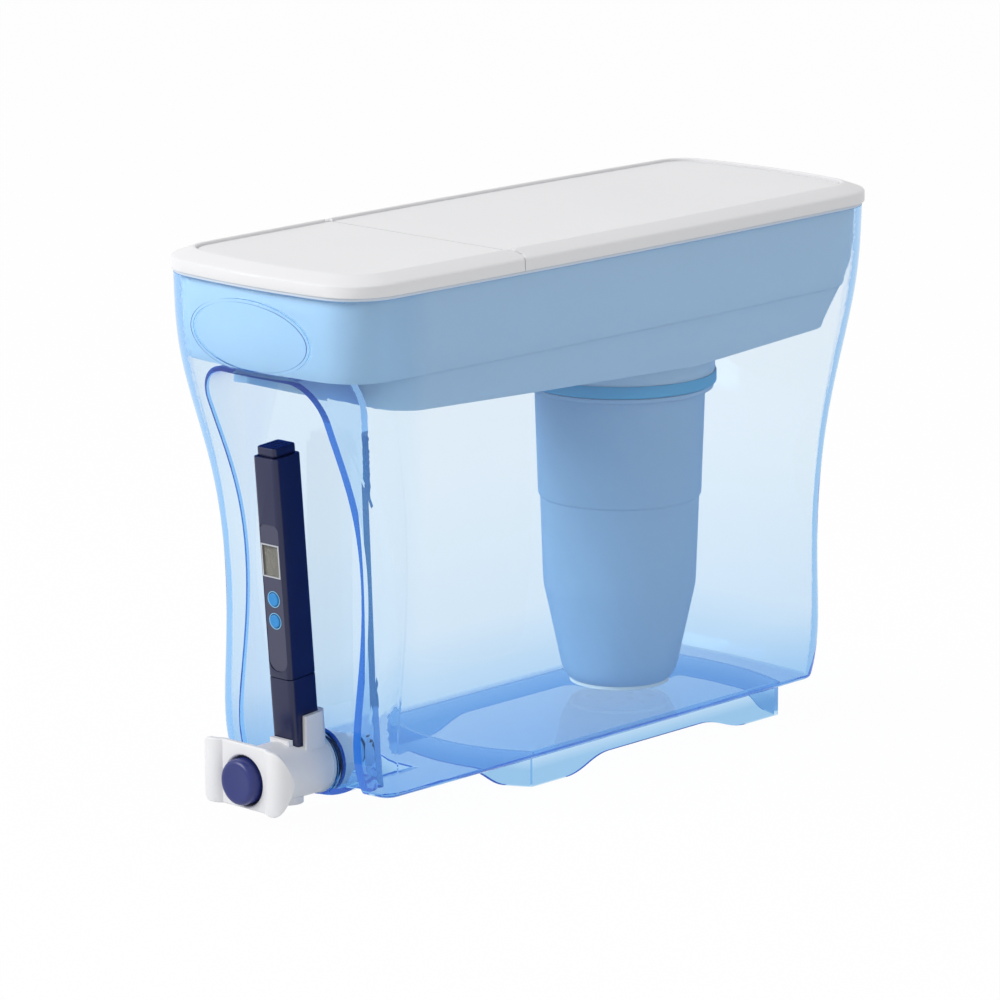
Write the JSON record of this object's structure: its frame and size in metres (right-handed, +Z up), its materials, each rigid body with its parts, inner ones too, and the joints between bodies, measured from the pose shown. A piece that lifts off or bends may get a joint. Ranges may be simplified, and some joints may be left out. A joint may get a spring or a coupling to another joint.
{
  "type": "gravity water filter with tap",
  "caption": "Slim clear water filter tank with lift-out reservoir, screw-in cartridge, hinged filling flap, push-button tap and a pocket tester in a cradle.",
  "frame": {"origin": "middle of the bounding box, on the plane the foot ring stands on", "axes": "+Z up, -Y towards the tap end, +X to the right as seen from the tap end"},
  "size_m": [0.1396, 0.384, 0.2634],
  "materials": {
    "tank_clear": "clear pale blue plastic",
    "hopper_blue": "satin light blue plastic",
    "lid_white": "satin white plastic",
    "pin_steel": "polished",
    "cup_blue": "satin light blue plastic",
    "gasket_teal": "smooth silicone",
    "foam_white": "open foam",
    "carbon_black": "loose granules held as one bed",
    "resin_amber": "loose beads held as one bed",
    "tap_white": "satin white plastic",
    "button_navy": "satin navy plastic",
    "seal_rubber": "smooth silicone",
    "spring_steel": "bright wire",
    "washer_rubber": "blue-grey silicone",
    "tester_navy": "satin navy plastic",
    "cell_steel": "nickel plated",
    "label_mauve": "purple grey film",
    "window_clear": "clear",
    "display_grey": "grey display",
    "board_green": "green board",
    "key_blue": "blue plastic"
  },
  "bodies": {
    "base": {"tank": "tank_clear", "tap_body": "tap_white", "finger_plate": "tap_white", "tap_washer": "washer_rubber", "inner_gasket": "seal_rubber", "tap_nut": "tap_white", "return_spring": "spring_steel"},
    "reservoir": {"hopper": "hopper_blue"},
    "cartridge": {"cartridge_shell": "cup_blue", "cartridge_gasket": "gasket_teal", "inlet_screen": "cup_blue", "foam_disc": "foam_white", "carbon_bed": "carbon_black", "resin_bed": "resin_amber", "outlet_membrane": "foam_white"},
    "lid": {"lid_rear": "lid_white"},
    "flap": {"lid_flap": "lid_white", "flap_pins": "pin_steel"},
    "tap_valve": {"push_button": "button_navy", "valve_stem": "tap_white", "valve_seal": "seal_rubber"},
    "tester_sleeve": {"tester_cap": "tester_navy"},
    "tester": {"tester_body": "tester_navy", "battery_cover": "tester_navy", "button_cells": "cell_steel", "label_plate": "label_mauve", "display_window": "window_clear", "display_module": "display_grey", "circuit_board": "board_green", "probe_pins": "pin_steel"},
    "tester_upper_key": {"upper_key": "key_blue"},
    "tester_lower_key": {"lower_key": "key_blue"}
  },
  "joints": [
    {"name": "reservoir_lift", "type": "slide", "parent": "base", "child": "reservoir", "axis": [0, 0, 1], "range_m": [0, 0.25]},
    {"name": "lid_lift", "type": "slide", "parent": "reservoir", "child": "lid", "axis": [0, 0, 1], "range_m": [0, 0.06]},
    {"name": "flap_turn", "type": "hinge", "parent": "lid", "child": "flap", "pos_m": [0, -0.071, 0.261], "axis": [-1, 0, 0], "range_deg": [0, 95]},
    {"name": "cartridge_twist", "type": "hinge", "parent": "reservoir", "child": "cartridge", "pos_m": [0, 0.0682, 0.18], "axis": [0, 0, -1], "range_deg": [0, 90]},
    {"name": "tap_press", "type": "slide", "parent": "base", "child": "tap_valve", "axis": [0, 1, 0], "range_m": [0, 0.004], "stiffness_N_per_m": 400, "springref_m": -0.006, "deforming": ["return_spring"]},
    {"name": "sleeve_lift", "type": "slide", "parent": "base", "child": "tester_sleeve", "axis": [0, -0.0785, 0.9969], "range_m": [0, 0.012]},
    {"name": "tester_uncap", "type": "slide", "parent": "tester_sleeve", "child": "tester", "axis": [0, -0.0785, 0.9969], "range_m": [0, 0.018]},
    {"name": "upper_key_press", "type": "slide", "parent": "tester", "child": "tester_upper_key", "axis": [0, 0.9969, 0.0785], "range_m": [0, 0.0006], "stiffness_N_per_m": 500, "springref_m": -0.001},
    {"name": "lower_key_press", "type": "slide", "parent": "tester", "child": "tester_lower_key", "axis": [0, 0.9969, 0.0785], "range_m": [0, 0.0006], "stiffness_N_per_m": 500, "springref_m": -0.001}
  ]
}
